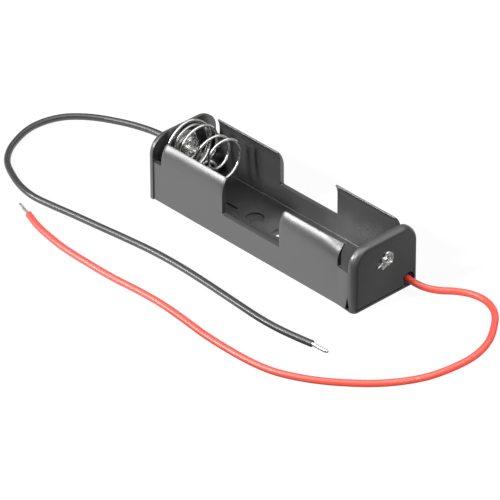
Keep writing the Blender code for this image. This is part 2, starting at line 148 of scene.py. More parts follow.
# Outer and inner head of each rivet: depth of its seat, radius, profile and petals
RIVET_HEADS = {
    "negative": ((0.0, HEAD_RADIUS, ROLLED_HEAD, []), (2.97 * MM, 1.93 * MM, STAR_HEAD, NEGATIVE_PETALS)),
    "positive": ((0.0, HEAD_RADIUS, STAR_HEAD, POSITIVE_PETALS), (PLATE_FRONT[1], HEAD_RADIUS, ROLLED_HEAD, [])),
}
SOLDER_RADIUS = 1.15 * MM
SOLDER_HEIGHT = 1.2 * MM
# How far the solder starts behind the plate's front, and its shares of height and radius from there up
SOLDER_SINK = 0.35 * MM
SOLDER_PROFILE = [(0.0, 0.9), (0.3, 1.0), (0.4, 0.93), (0.52, 0.82), (0.72, 0.7), (0.9, 0.52), (0.99, 0.3),
                  (1.0, 0.08)]
# Lead roots: length and free gap of the cover, and the edge that is broken at its cut
ROOT_COVER = 3.2 * MM
ROOT_GAP = 0.3 * MM
COVER_BREAK = 0.08 * MM
# Bare core of a root: from its cut inwards, across and up, then heights over the plate and places along the tab
ROOT_RISE = (0.5, -0.05, 0.15)
ROOT_KNOTS = [(2.1, 1.2), (0.95, 0.1), (0.75, -1.1)]

# Twisted cores: length of a turn, share of the radius between strands, and the share and length of the tip's taper
STRAND_PITCH = 5.5 * MM
STRAND_HOLLOW = 0.87
STRAND_TIP = 0.62
TIP_TAPER = 0.5 * MM
# How far a core starts inside its cover, how far it then runs straight, and how soon and how much it droops
CORE_INSIDE = 0.4 * MM
TIP_STRAIGHT = 0.3 * MM
TIP_DROOP = (0.45, 0.75)
CORE_STEP = 0.12 * MM

# Camera, worked out from the tray's edges in the photograph, with its focal length in the photograph's pixels
PHOTO_WIDTH = 500
CAMERA_PLACE = Vector((0.61545, -0.582935, 0.5463))
CAMERA_TARGET = Vector((0.004351, -0.012496, 0.005))
CAMERA_ROLL = -0.0048
CAMERA_FOCUS = 5157.7
CAMERA_CLIP = (0.05, 20.0)

# Lamps in metres: place, target, width and height, the setting that holds the power, and what the lamp does
MIDDLE = (0, 0, 5 * MM)
RED_EXIT = (LEAD_EXIT_X, *LEAD_HOLE)
LAMPS = [
    ("key_softbox", (-0.22, -0.70, 0.52), MIDDLE, (0.18, 0.18), "key_power", "lights"),
    ("key_reflection", (-0.55, -0.63, 0.36), MIDDLE, (0.35, 0.20), "shine_power", "shines"),
    ("front_card", (-0.14, -0.62, 0.54), MIDDLE, (0.30, 0.22), "front_power", "shines"),
    ("high_card", (-0.35, -0.45, 0.70), MIDDLE, (0.50, 0.35), "high_power", "shines"),
    ("top_card", (0.10, -0.10, 0.80), MIDDLE, (1.10, 0.80), "top_power", "shines"),
    ("rim_softbox", (0.25, 0.45, 0.60), MIDDLE, (0.45, 0.30), "rim_power", "lights"),
    ("side_softbox", (0.14, -0.03, 0.06), RED_EXIT, (0.04, 0.04), "side_power", "lights"),
    ("rim_card", (0.12, 0.52, 0.62), MIDDLE, (1.20, 0.35), "card_power", "shines"),
]
# Collection of the only pieces that the side softbox falls on
SIDE_LIT = "side_lit_pieces"

# Floor: half its width, its depth under the holder, its tone as seen, and the tone it throws back on the holder
FLOOR_REACH = 3.0
FLOOR_DROP = 0.02 * MM
FLOOR_TONE = 0.8
FLOOR_BOUNCE = 0.2
# Level of the white that the camera sees, a little over 1 so that the shaded share doesn't grey it
FLOOR_WHITE = 1.07
# Painted shade in the floor's glow in reflections: it dims to the right of the holder and towards the camera
FLOOR_RIGHT = (24 * MM, 32 * MM)
FLOOR_RIGHT_SHADE_LEVEL = 0.3
FLOOR_FRONT = (22 * MM, 31 * MM)
FLOOR_FRONT_SHADE_LEVEL = 0.06

# Contact spring after the top of its base turn: knots half a turn apart, in millimetres
SPRING_ADVANCE = [0.0, 2.11, 3.32, 4.23, 7.48, 8.48, 9.97, 10.91, 12.2]
SPRING_RADIUS = [5.89, 4.15, 5.24, 3.19, 3.74, 3.2, 3.26, 4.98, 6.2]
SPRING_LOOP_RADIUS = 1.7
SPRING_LOOP_TURNS = 0.8
SPRING_SPREAD_TURNS = 1.5
SPRING_BASE_TURNS = 0.5
SPRING_FREE_TURNS = 3.75
SPRING_LEAN = 0.248
SPRING_STEPS = 72
SPRING_SIDES = 16
SPRING_BASE_X = -26.65 * MM

# Centreline of each lead from its exit, in millimetres: X outwards from the exit and Y across
RED_ROUTE = [
    (0.0, 5.95), (2.3, 5.9), (4.5, 6.7), (6.4, 8.4), (8.4, 10.6), (11.3, 12.2), (14.9, 12.5), (18.7, 10.9),
    (22.0, 7.5), (25.1, 2.7), (26.6, -2.7), (26.5, -8.2), (25.4, -13.63), (23.2, -18.28), (20.3, -22.3),
    (16.9, -25.7), (13.1, -28.8), (9.1, -31.3), (4.6, -33.3), (-0.4, -34.3), (-6.9, -34.6), (-13.9, -34.4),
    (-20.9, -33.7), (-27.4, -33.25), (-33.9, -33.4), (-40.9, -33.9), (-47.9, -33.95), (-54.9, -33.75),
    (-60.4, -33.0), (-64.7, -32.1), (-68.8, -30.7),
]
BLACK_ROUTE = [
    (0.0, 5.95), (2.1, 6.05), (4.6, 6.5), (7.6, 7.2), (11.1, 8.0), (14.6, 8.3), (18.1, 7.8), (21.9, 6.7),
    (25.6, 5.1), (28.9, 3.3), (31.8, 1.0), (34.0, -1.8), (35.2, -5.48), (35.2, -9.53), (33.8, -13.88),
    (31.6, -17.88), (28.4, -21.18), (24.1, -23.48), (19.6, -25.08), (15.1, -25.68), (10.1, -25.18),
    (4.6, -24.38), (-1.9, -23.58), (-8.9, -22.68), (-15.9, -21.98), (-23.4, -21.78), (-31.4, -22.08),
    (-39.5, -22.58), (-46.9, -22.98), (-51.9, -22.88), (-56.5, -22.38), (-60.3, -21.78),
]
# Heights of the routes' first points, and of all the others, which lie on the surface
RED_DROP = [1.9, 1.8, 1.4, 0.95, 0.72]
BLACK_DROP = [1.9, 1.85, 1.6, 1.15, 0.8]
LEAD_REST = 0.7
LEAD_STEP = 0.9 * MM
LEADS = {
    "red": {"end": 1, "route": RED_ROUTE, "drop": RED_DROP, "tip": 4.6 * MM, "roughness": 0.42, "gloss": 2.3},
    "black": {"end": -1, "route": BLACK_ROUTE, "drop": BLACK_DROP, "tip": 3.4 * MM, "roughness": 0.3, "gloss": 1.9},
}


# Settings a user would change

def wire_size(name, about, size, low, high):
    """A wire's diameter and its limits, given in millimetres."""
    return bpy.props.FloatProperty(name=name, description=about, default=size * MM, min=low * MM, max=high * MM,
                                   precision=5, subtype="DISTANCE", unit="LENGTH")


def surface_colour(name, about, colour):
    return bpy.props.FloatVectorProperty(name=name, description=about, default=colour, min=0.0, max=1.0,
                                         subtype="COLOR")


def lamp_power(name, about, watts):
    return bpy.props.FloatProperty(name=name, description=about, default=watts, min=0.0, subtype="POWER",
                                   unit="POWER")


def brightness(name, about, share):
    return bpy.props.FloatProperty(name=name, description=about, default=share, min=0.0, max=1.0, subtype="FACTOR")


class HolderSizes(bpy.types.PropertyGroup):
    """Sizes of the wires"""
    lead_diameter: wire_size("Lead diameter", "Outside of a lead's cover", 1.4, 0.8, 2.4)
    core_diameter: wire_size("Core diameter", "Outside of a lead's twisted and tinned core", 0.75, 0.3, 1.2)
    spring_wire: wire_size("Spring wire", "Diameter of the contact spring's wire", 0.6, 0.3, 1.0)
    strand_count: bpy.props.IntProperty(
        name="Strands", description="Strands seen round a core", default=7, min=5, max=12)


class HolderColours(bpy.types.PropertyGroup):
    """Colours of the holder's materials"""
    moulding: surface_colour("Moulding", "Black moulded plastic", (0.04, 0.04, 0.0415))
    nickel: surface_colour("Nickel", "Plating on the spring, plates and rivets", (0.9, 0.9, 0.885))
    tin: surface_colour("Tin", "Tinned cores and solder", (0.9, 0.89, 0.87))
    red_cover: surface_colour("Red cover", "Cover of the positive lead", (0.64, 0.042, 0.021))
    black_cover: surface_colour("Black cover", "Cover of the negative lead", (0.018, 0.018, 0.02))


class StudioSettings(bpy.types.PropertyGroup):
    """Light and background"""
    key_power: lamp_power("Key light", "Softbox at the camera's left, which only lights", 14.5)
    shine_power: lamp_power("Key reflection", "Large softbox at the left that only reflections show", 3.4)
    front_power: lamp_power("Front card", "Card at the key light that only reflections show", 1.5)
    high_power: lamp_power("High card", "Card high at the left that only reflections show", 1.6)
    top_power: lamp_power("Top card", "Card overhead that only reflections show", 4.4)
    card_power: lamp_power("Rim card", "Card behind the holder that only reflections show", 1.0)
    rim_power: lamp_power("Rim light", "Softbox high behind the holder, which only lights", 2.7)
    side_power: lamp_power("Side light", "Small softbox at the red lead's exit, which lights only the leads", 0.17)
    world_level: brightness("World", "Brightness of the plain surroundings", 0.08)
    mirror_level: brightness("Reflected world", "Brightness of the surroundings in glossy surfaces", 0.33)
    shadow_share: brightness("Floor shadow", "Share of the floor's colour that takes light and shade", 0.13)


# Shader maths

class Value:
    """A shader socket used in plain arithmetic: each operation adds a Math node."""

    def __init__(self, finish, socket):
        self.finish = finish
        self.socket = socket

    def maths(self, operation, *values):
        return self.finish.node("ShaderNodeMath", {"operation": operation}, dict(enumerate(values)))

    def sibling(self, name):
        """Another output of the same node."""
        return Value(self.finish, self.socket.node.outputs[name])

    def __add__(self, other):
        return self.maths("ADD", self, other)

    def __radd__(self, other):
        return self.maths("ADD", other, self)

    def __sub__(self, other):
        return self.maths("SUBTRACT", self, other)

    def __rsub__(self, other):
        return self.maths("SUBTRACT", other, self)

    def __mul__(self, other):
        return self.maths("MULTIPLY", self, other)

    def __rmul__(self, other):
        return self.maths("MULTIPLY", other, self)


class Finish:
    """A material built from nodes round one Principled shader."""

    def __init__(self, name, constants):
        self.material = bpy.data.materials.new(name)
        self.material.use_nodes = True
        self.tree = self.material.node_tree
        self.shader = self.tree.nodes["Principled BSDF"]
        for socket, value in constants.items():
            self.shader.inputs[socket].default_value = value

    def put(self, socket, value):
        """Link a socket to a value, or set it to a plain number or colour."""
        if isinstance(value, Value):
            self.tree.links.new(value.socket, socket)
        else:
            socket.default_value = value

    def node(self, kind, settings, inputs, output=0):
        """Add one node: its settings first, then the values or links of its sockets."""
        made = self.tree.nodes.new(kind)
        for name, value in settings.items():
            setattr(made, name, value)
        for name, value in inputs.items():
            self.put(made.inputs[name], value)
        return Value(self, made.outputs[output])

    def place(self):
        """Object coordinates, which are metres in the part's own frame."""
        return self.node("ShaderNodeTexCoord", {}, {}, "Object")

    def stretched(self, vector, scale):
        """Coordinates scaled along each axis, for marks that run one way."""
        return self.node("ShaderNodeVectorMath", {"operation": "MULTIPLY"}, {0: vector, 1: scale})

    def noise(self, vector, scale, detail):
        return self.node("ShaderNodeTexNoise", {}, {"Vector": vector, "Scale": scale, "Detail": detail})

    def span(self, value, limits, low, high, kind="SMOOTHSTEP"):
        """A number that goes from low to high while the value goes from one limit to the other."""
        settings = {"clamp": True, "interpolation_type": kind}
        inputs = {"Value": value, "From Min": limits[0], "From Max": limits[1], "To Min": low, "To Max": high}
        return self.node("ShaderNodeMapRange", settings, inputs)

    def between(self, share, low, high):
        """A number that goes from low to high over the usual spread of noise."""
        return self.span(share, (0.3, 0.7), low, high, "LINEAR")

    def tinted(self, share, first, second):
        """A colour between two others, through the Mix node's two colour sockets and its colour output."""
        inputs = {"Factor": share, 6: (*first, 1.0), 7: (*second, 1.0)}
        return self.node("ShaderNodeMix", {"data_type": "RGBA"}, inputs, 2)

    def relief(self, height, distance, strength):
        """Fine relief from a height value."""
        bump = self.node("ShaderNodeBump", {}, {"Height": height, "Distance": distance, "Strength": strength})
        self.put(self.shader.inputs["Normal"], bump)

    def vary(self, socket, value):
        self.put(self.shader.inputs[socket], value)


class Sky(Finish):
    """The same node methods for the world's tree."""

    def __init__(self, world):
        self.tree = world.node_tree


def shaded(colour, level):
    """A colour made lighter or darker."""
    return tuple(min(part * level, 1.0) for part in colour)


def moulding_finish():
    """Satin black plastic with fine moulded grain and faint flow marks along the bay."""
    colour = tuple(bpy.context.scene.holder_colours.moulding)
    finish = Finish("black_moulding_finish", {"IOR": 2.0})
    place = finish.place()
    mottle = finish.noise(finish.stretched(place, (90.0, 260.0, 260.0)), 1.0, 3.0)
    grain = finish.noise(place, 4200.0, 2.0)
    finish.vary("Base Color", finish.tinted(mottle, shaded(colour, 0.86), shaded(colour, 1.14)))
    finish.vary("Roughness", finish.between(mottle * 0.7 + grain * 0.3, 0.26, 0.34))
    finish.relief(grain * 0.8 + mottle * 0.2, 0.01 * MM, 0.35)
    return finish.material


def nickel_finish(name, tone, roughness, depth):
    """Bright nickel plate with faint cloudiness and drawing marks."""
    colour = shaded(tuple(bpy.context.scene.holder_colours.nickel), tone)
    finish = Finish(name, {"Metallic": 1.0})
    place = finish.place()
    cloud = finish.noise(place, 650.0, 3.0)
    marks = finish.noise(finish.stretched(place, (900.0, 5200.0, 5200.0)), 1.0, 2.0)
    finish.vary("Base Color", finish.tinted(cloud, shaded(colour, 0.88), shaded(colour, 1.1)))
    finish.vary("Roughness", finish.between(cloud * 0.6 + marks * 0.4, *roughness))
    finish.relief(marks, depth * MM, 0.5)
    return finish.material


def cover_finish(colour, use):
    """Extruded cover: even colour, slight waviness and fine specks of dust."""
    tone = tuple(getattr(bpy.context.scene.holder_colours, colour + "_cover"))
    roughness = LEADS[colour]["roughness"]
    finish = Finish(f"{colour}_{use}_finish", {"IOR": LEADS[colour]["gloss"]})
    place = finish.place()
    wave = finish.noise(place, 420.0, 2.0)
    speck = finish.noise(place, 5200.0, 1.0)
    finish.vary("Base Color", finish.tinted(wave, shaded(tone, 0.9), shaded(tone, 1.1)))
    finish.vary("Roughness", finish.between(wave * 0.5 + speck * 0.5, roughness - 0.05, roughness + 0.07))
    finish.relief(wave * 0.7 + speck * 0.3, 0.006 * MM, 0.3)
    return finish.material


def tin_finish(name, roughness):
    """Tin that has run over the strands: bright ridges and duller hollows."""
    colour = tuple(bpy.context.scene.holder_colours.tin)
    finish = Finish(name, {"Metallic": 1.0})
    place = finish.place()
    pool = finish.noise(place, 900.0, 3.0)
    finish.vary("Base Color", finish.tinted(pool, shaded(colour, 0.78), shaded(colour, 1.12)))
    finish.vary("Roughness", finish.between(pool, *roughness))
    finish.relief(pool, 0.03 * MM, 0.6)
    return finish.material


# Mesh helpers

def mesh_object(name, bm):
    """Turn a bmesh into an object of the scene."""
    bmesh.ops.recalc_face_normals(bm, faces=bm.faces)
    mesh = bpy.data.meshes.new(name)
    bm.to_mesh(mesh)
    bm.free()
    item = bpy.data.objects.new(name, mesh)
    bpy.context.scene.collection.objects.link(item)
    return item


def new_piece(name, bm, material, replaced=()):
    """Turn a bmesh into a piece of the holder that rides on its body."""
    piece = mesh_object(name, bm)
    piece.data.shade_smooth()
    piece.data.set_sharp_from_angle(angle=SHARP_ANGLE)
    piece.data.materials.append(material)
    return settle(piece, replaced)


def settle(piece, replaced=()):
    """Let a piece ride on the holder, and hide the solids that it stands for."""
    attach(piece, BODY)
    if replaced:
        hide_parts(*replaced)
    return piece


def smooth_point(padded, place):
    """Point on a Catmull-Rom curve through evenly spaced knots that are padded at both ends."""
    i = min(max(int(place), 0), len(padded) - 4)
    a, b, c, d = padded[i:i + 4]
    t = place - i
    return 0.5 * (2 * b + (c - a) * t + (2 * a - 5 * b + 4 * c - d) * t ** 2
                  + (3 * b - a - 3 * c + d) * t ** 3)


def pad(knots):
    return [2 * knots[0] - knots[1]] + list(knots) + [2 * knots[-1] - knots[-2]]


def even_path(points, step):
    """Points an even step apart on a smooth curve through the given ones."""
    padded = pad(points)
    parts = 40
    fine = [smooth_point(padded, i / parts) for i in range(parts * (len(points) - 1) + 1)]
    lengths = [0.0]
    for p, q in zip(fine, fine[1:]):
        lengths.append(lengths[-1] + (q - p).length)
    count = max(round(lengths[-1] / step), 2)
    even = []
    k = 0
    for i in range(count + 1):
        target = lengths[-1] * i / count
        while k < len(fine) - 2 and lengths[k + 1] < target:
            k += 1
        share = (target - lengths[k]) / (lengths[k + 1] - lengths[k])
        even.append(fine[k].lerp(fine[k + 1], min(share, 1.0)))
    return even


def sweep(bm, points, section, sides):
    """Skin a closed tube along points, where section(i, angle) gives its radius."""
    loops = []
    across = None
    for i, point in enumerate(points):
        ahead = points[min(i + 1, len(points) - 1)]
        behind = points[max(i - 1, 0)]
        along = (ahead - behind).normalized()
        if across is None:
            across = along.orthogonal()
        across = (across - along * across.dot(along)).normalized()
        up = along.cross(across)
        loop = []
        for k in range(sides):
            angle = 2 * math.pi * k / sides
            radius = section(i, angle)
            loop.append(bm.verts.new(point + radius * (math.cos(angle) * across + math.sin(angle) * up)))
        loops.append(loop)
    for near, far in zip(loops, loops[1:]):
        for k in range(sides):
            j = (k + 1) % sides
            bm.faces.new((near[k], near[j], far[j], far[k]))
    bm.faces.new(loops[0])
    bm.faces.new(loops[-1])


def length_of(points):
    return sum((q - p).length for p, q in zip(points, points[1:]))


# Leads

def lead_exit(end):
    return Vector((end * LEAD_EXIT_X, *LEAD_HOLE))


def lead_path(colour):
    lead = LEADS[colour]
    start = lead_exit(lead["end"])
    heights = lead["drop"] + [LEAD_REST] * (len(lead["route"]) - len(lead["drop"]))
    points = [Vector((start.x + lead["end"] * x * MM, y * MM, z * MM))
              for (x, y), z in zip(lead["route"], heights)]
    return even_path(points, LEAD_STEP)


def build_cover(colour, path, material):
    """Free lead as one smooth curve."""
    curve = bpy.data.curves.new(colour + "_lead_cover", "CURVE")
    curve.dimensions = "3D"
    curve.bevel_depth = bpy.context.scene.holder_sizes.lead_diameter / 2
    curve.bevel_resolution = 6
    curve.use_fill_caps = True
    spline = curve.splines.new("POLY")
    spline.points.add(len(path) - 1)
    for target, point in zip(spline.points, path):
        target.co = (*point, 1.0)
    spline.use_smooth = True
    curve.materials.append(material)
    piece = bpy.data.objects.new(colour + "_lead_cover", curve)
    bpy.context.scene.collection.objects.link(piece)
    piece.visible_glossy = False
    bpy.data.collections[SIDE_LIT].objects.link(piece)
    return settle(piece, (colour + "_lead",))


def twisted_core(name, points, material, replaced=()):
    """Twisted strands held together by tin: a lobed tube that narrows a little at its tip."""
    sizes = bpy.context.scene.holder_sizes
    radius = sizes.core_diameter / 2
    lobes = sizes.strand_count
    total = length_of(points)
    step = total / (len(points) - 1)

    def section(i, angle):
        travelled = i * step
        turn = 2 * math.pi * travelled / STRAND_PITCH
        ridge = abs(math.cos(lobes * (angle - turn) / 2))
        size = radius * (STRAND_HOLLOW + (1 - STRAND_HOLLOW) * ridge)
        return size * min(1.0, STRAND_TIP + (1 - STRAND_TIP) * (total - travelled) / TIP_TAPER)

    bm = bmesh.new()
    sweep(bm, points, section, 6 * lobes)
    return new_piece(name, bm, material, replaced)


def build_tip(colour, path, material):
    """Stripped end that comes out of the cover and droops to the surface."""
    radius = bpy.context.scene.holder_sizes.core_diameter / 2
    along = (path[-1] - path[-2]).normalized()
    start = path[-1] - along * CORE_INSIDE
    reach = LEADS[colour]["tip"]
    drop = Vector((0, 0, radius - start.z))
    ahead = path[-1] + along * TIP_STRAIGHT
    middle = ahead + along * reach * TIP_DROOP[0] + drop * TIP_DROOP[1]
    finish = ahead + along * reach + drop
    points = even_path([start, ahead, middle, finish], CORE_STEP)
    return twisted_core(colour + "_tinned_strands", points, material, (colour + "_tinned_end",))


class OBJECT_OT_cell_holder_leads(bpy.types.Operator):
    """Build both free leads with their tinned ends"""
    bl_idname = "object.cell_holder_leads"
    bl_label = "Leads"

    def execute(self, context):
        tin = tin_finish("tinned_strands_finish", (0.22, 0.42))
        for colour in LEADS:
            path = lead_path(colour)
            cover = build_cover(colour, path, cover_finish(colour, "cover"))
            tip = build_tip(colour, path, tin)
            length_of(path)
        return {"FINISHED"}


# Contact spring

def spring_point(turn):
    """Centre of the spring wire after a number of turns from the top of the base turn."""
    base_radius = SPRING_RADIUS[0] * MM
    if turn < 0:
        advance = 0.0
        share = (turn + SPRING_BASE_TURNS) / SPRING_SPREAD_TURNS
        radius = base_radius + (base_radius - SPRING_LOOP_RADIUS * MM) * min(max(share, -1.0), 0.0)
    else:
        advance = max(smooth_point(pad(SPRING_ADVANCE), 2 * turn), 0.0) * MM
        radius = smooth_point(pad(SPRING_RADIUS), 2 * turn) * MM
    axis = AXIS_HEIGHT + SPRING_LEAN * advance
    angle = 2 * math.pi * turn
    return Vector((SPRING_BASE_X + advance, radius * math.sin(angle), axis + radius * math.cos(angle)))


class OBJECT_OT_cell_holder_spring(bpy.types.Operator):
    """Wind the contact spring from one wire"""
    bl_idname = "object.cell_holder_spring"
    bl_label = "Contact spring"

    def execute(self, context):
        wire = context.scene.holder_sizes.spring_wire / 2
        first = -SPRING_BASE_TURNS - SPRING_SPREAD_TURNS - SPRING_LOOP_TURNS
        count = int((SPRING_FREE_TURNS - first) * SPRING_STEPS)
        turns = [first + (SPRING_FREE_TURNS - first) * i / count for i in range(count + 1)]
        points = [spring_point(turn) for turn in turns]
        bm = bmesh.new()
        sweep(bm, points, lambda i, angle: wire, SPRING_SIDES)
        material = nickel_finish("spring_wire_finish", 1.0, (0.1, 0.22), 0.006)
        spring = new_piece("contact_spring_wire", bm, material, ("contact_spring",))
        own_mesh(spring)
        return {"FINISHED"}


# Moulded tray

def arc(centre, radius, start, end, steps):
    """Points on an arc in a plane, from one angle to another."""
    angles = [start + (end - start) * i / steps for i in range(steps + 1)]
    return [(centre[0] + radius * math.cos(a), centre[1] + radius * math.sin(a)) for a in angles]


def half_section(curl):
    """Half section of the channel from the middle of its base to the middle of its floor.

    A clip with more curl has the same length, bent to a smaller radius.
    """
    radius = CLIP_RADIUS / curl
    angle = CLIP_ANGLE * curl
    points = arc((HALF_SIDE - BASE_EDGE, BASE_EDGE), BASE_EDGE, -QUARTER, 0, 4)
    points += [(HALF_SIDE, LOW_WALL_HEIGHT), (HALF_SIDE, LEDGE_HEIGHT)]
    points += arc((HALF_SIDE - radius, CLIP_START), radius, 0, angle, 18)
    tip = points[-1]
    lip = (tip[0] - CLIP_LIP * math.cos(angle), tip[1] - CLIP_LIP * math.sin(angle))
    inner_angle = math.acos(1 - (HALF_BAY - lip[0]) / CLIP_INNER_RADIUS)
    inner_bend = (HALF_BAY - CLIP_INNER_RADIUS, lip[1] - CLIP_INNER_RADIUS * math.sin(inner_angle))
    points += arc(inner_bend, CLIP_INNER_RADIUS, inner_angle, 0, 14)
    points += [(HALF_BAY, LEDGE_HEIGHT), (HALF_BAY, LOW_WALL_HEIGHT)]
    return points + arc((HALF_BAY - FLOOR_FILLET, FLOOR + FLOOR_FILLET), FLOOR_FILLET, 0, -QUARTER, 6)


def wall_flare(x):
    """How far the near wall swells out to meet the positive end wall."""
    start, finish, swell = WALL_FLARE
    share = min(max((x - start) / (finish - start), 0.0), 1.0)
    return swell * share * share * (3 - 2 * share)


def near_curl(x):
    """Curl of the near clips at a place along the bay, which grows towards their free ends."""
    return 1.0 + sum(more * math.exp(-((x - place) / reach) ** 2) for place, more, reach in NEAR_CURLS)


def add_loft(bm, rings, closed=False):
    """Skin a row of point rings, with a cap on each end or joined round to the first."""
    loops = [[bm.verts.new(point) for point in ring] for ring in rings]
    count = len(loops[0])
    for near, far in zip(loops, loops[1:] + loops[:1] if closed else loops[1:]):
        for i in range(count):
            j = (i + 1) % count
            bm.faces.new((near[i], near[j], far[j], far[i]))
    if not closed:
        bm.faces.new(loops[0])
        bm.faces.new(loops[-1])
    return bm


def channel():
    """The tray's section along the bay, with the near clips' curl and the near wall's swell."""
    reach = HALF_LENGTH - END_RIM[1][0] + TRAY_EDGE
    steps = 56
    rings = []
    for i in range(steps + 1):
        x = -reach + 2 * reach * i / steps
        near = [(x, -y - wall_flare(x) * min(max((y - HALF_BAY) / SIDE_WALL, 0.0), 1.0), z)
                for y, z in half_section(near_curl(x))]
        rings.append([(x, y, z) for y, z in half_section(1.0)] + near[::-1])
    return add_loft(bmesh.new(), rings)


def gap_outline(low, high, foot):
    """Outline along the bay of a space in a side wall: rounded at its foot and at the clips' corners."""
    points = arc((low + NOTCH_FOOT, foot + NOTCH_FOOT), NOTCH_FOOT, 2 * QUARTER, 3 * QUARTER, 4)
    points += arc((high - NOTCH_FOOT, foot + NOTCH_FOOT), NOTCH_FOOT, -QUARTER, 0, 4)
    points += arc((high + CLIP_CORNER, CLIP_SHOULDER - CLIP_CORNER), CLIP_CORNER, 2 * QUARTER, QUARTER, 4)
    points += [(high + CLIP_CORNER, GAP_TOP), (low - CLIP_CORNER, GAP_TOP)]
    return points + arc((low - CLIP_CORNER, CLIP_SHOULDER - CLIP_CORNER), CLIP_CORNER, QUARTER, 0, 4)


def add_side_cutter(bm, outline, side, inside):
    """A cutter with an outline along the bay, from a distance across the bay to past a side wall."""
    add_loft(bm, [[(x, y, z) for x, z in outline] for y in (side * inside, side * (HALF_SIDE + BEYOND))])


def wall_gaps():
    """Spaces cut from the side walls, which leave the clips, ledges and low middle wall."""
    bm = bmesh.new()
    past = HALF_LENGTH + BEYOND
    for side in (-1, 1):
        for low, high, foot in ((-past, CLIP_A_START, LEDGE_HEIGHT), (-HALF_GAP, HALF_GAP, LOW_WALL_HEIGHT),
                                (CLIP_B_END[side], past, LEDGE_HEIGHT)):
            add_side_cutter(bm, gap_outline(low, high, foot), side, GAP_INSIDE)
    return bm


def end_outline(end, inset, foot_inset):
    side = HALF_END - inset
    corner = END_CORNER - inset
    level = END_HEIGHT[end] - inset - corner
    points = [(side, foot_inset), (side, LEDGE_HEIGHT)]
    points += arc((side - corner, level), corner, 0, QUARTER, 18)
    points += arc((corner - side, level), corner, QUARTER, 2 * QUARTER, 18)
    return points + [(-side, LEDGE_HEIGHT), (-side, foot_inset)]


def end_wall(end):
    """End wall with a rounded outer rim, lofted from its inner face to its outer face."""
    deep, wide = END_RIM[end]
    sections = [(HALF_LENGTH - WALLS[end], 0.0)]
    steps = 12
    for i in range(steps + 1):
        turn = QUARTER * i / steps
        sections.append((HALF_LENGTH - deep * (1 - math.sin(turn)), 1 - math.cos(turn)))
    rings = [[(end * x, y, z) for y, z in end_outline(end, wide * share, END_FOOT_EDGE * share)]
             for x, share in sections]
    return add_loft(bmesh.new(), rings)


def add_rod(bm, start, end, radius, far_radius=None, sides=48):
    """A round bar or cone between two points on a line along X or along Z."""
    axis = (Vector(end) - Vector(start)).normalized()
    across = axis.orthogonal().normalized()
    up = axis.cross(across)
    rings = []
    turns = [2 * math.pi * i / sides for i in range(sides)]
    for centre, size in ((Vector(start), radius), (Vector(end), far_radius or radius)):
        rings.append([centre + size * (math.cos(a) * across + math.sin(a) * up) for a in turns])
    add_loft(bm, rings)


def round_holes():
    """Screw hole, rivet holes and flared lead holes."""
    bm = bmesh.new()
    add_rod(bm, (0, 0, -BEYOND), (0, 0, FLOOR + BEYOND), SCREW_HOLE / 2)
    narrow, wide = LEAD_HOLE_RADII
    for end in (-1, 1):
        outside = end * (HALF_LENGTH + BEYOND)
        face = end * HALF_LENGTH
        inside = end * (HALF_LENGTH - WALLS[end])
        add_rod(bm, (inside - end * BEYOND, 0, AXIS_HEIGHT), (outside, 0, AXIS_HEIGHT), RIVET_HOLE)
        add_rod(bm, (inside - end * LEAD_GROOVE, *LEAD_HOLE), (face, *LEAD_HOLE), narrow)
        add_rod(bm, (face - end * BEYOND, *LEAD_HOLE), (outside, *LEAD_HOLE), narrow, 2 * wide - narrow)
    return bm


def round_marks():
    """Shallow round marks in the floor, each side of the screw hole."""
    bm = bmesh.new()
    for x in (-MARK_OFFSET, MARK_OFFSET):
        add_rod(bm, (x, 0, FLOOR - MARK_DEPTH), (x, 0, FLOOR + BEYOND), MARK_DIAMETER / 2, sides=64)
    return bm


def rectangle(low, high):
    return [(low[0], low[1]), (high[0], low[1]), (high[0], high[1]), (low[0], high[1])]


def bar_marks():
    """Bar and cross in the floor, which show which way the cell goes."""
    x, y = BAR_PLACE
    length, width = BAR_SIZE
    bm = bmesh.new()
    for middle, long, wide in ((-x, length, width), (x, length, width), (x, width, length)):
        ring = rectangle((middle - long / 2, y - wide / 2), (middle + long / 2, y + wide / 2))
        add_loft(bm, [[(u, v, z) for u, v in ring] for z in (FLOOR - BAR_DEPTH, FLOOR + BEYOND)])
    return bm


def corner_reliefs():
    """Narrow wedges low on the side walls, where they meet the positive end wall."""
    middle = RELIEF["middle"]
    half = RELIEF["width"] / 2
    wedge = [(middle - half, RELIEF["foot"]), (middle + half, RELIEF["foot"]), (middle, RELIEF["height"])]
    bm = bmesh.new()
    for side in (-1, 1):
        add_side_cutter(bm, wedge, side, HALF_SIDE - RELIEF["depth"])
    return bm


def foot_line():
    """Fine groove just above the foot of the positive end wall."""
    depths = (HALF_LENGTH - FOOT_LINE_DEPTH, HALF_LENGTH + BEYOND)
    return add_loft(bmesh.new(), [[(x, y, z) for y, z in rectangle(*FOOT_LINE)] for x in depths])


def shown_mesh(item):
    """The object's mesh after its modifiers."""
    bpy.context.view_layer.update()
    return bpy.data.meshes.new_from_object(item.evaluated_get(bpy.context.evaluated_depsgraph_get()))


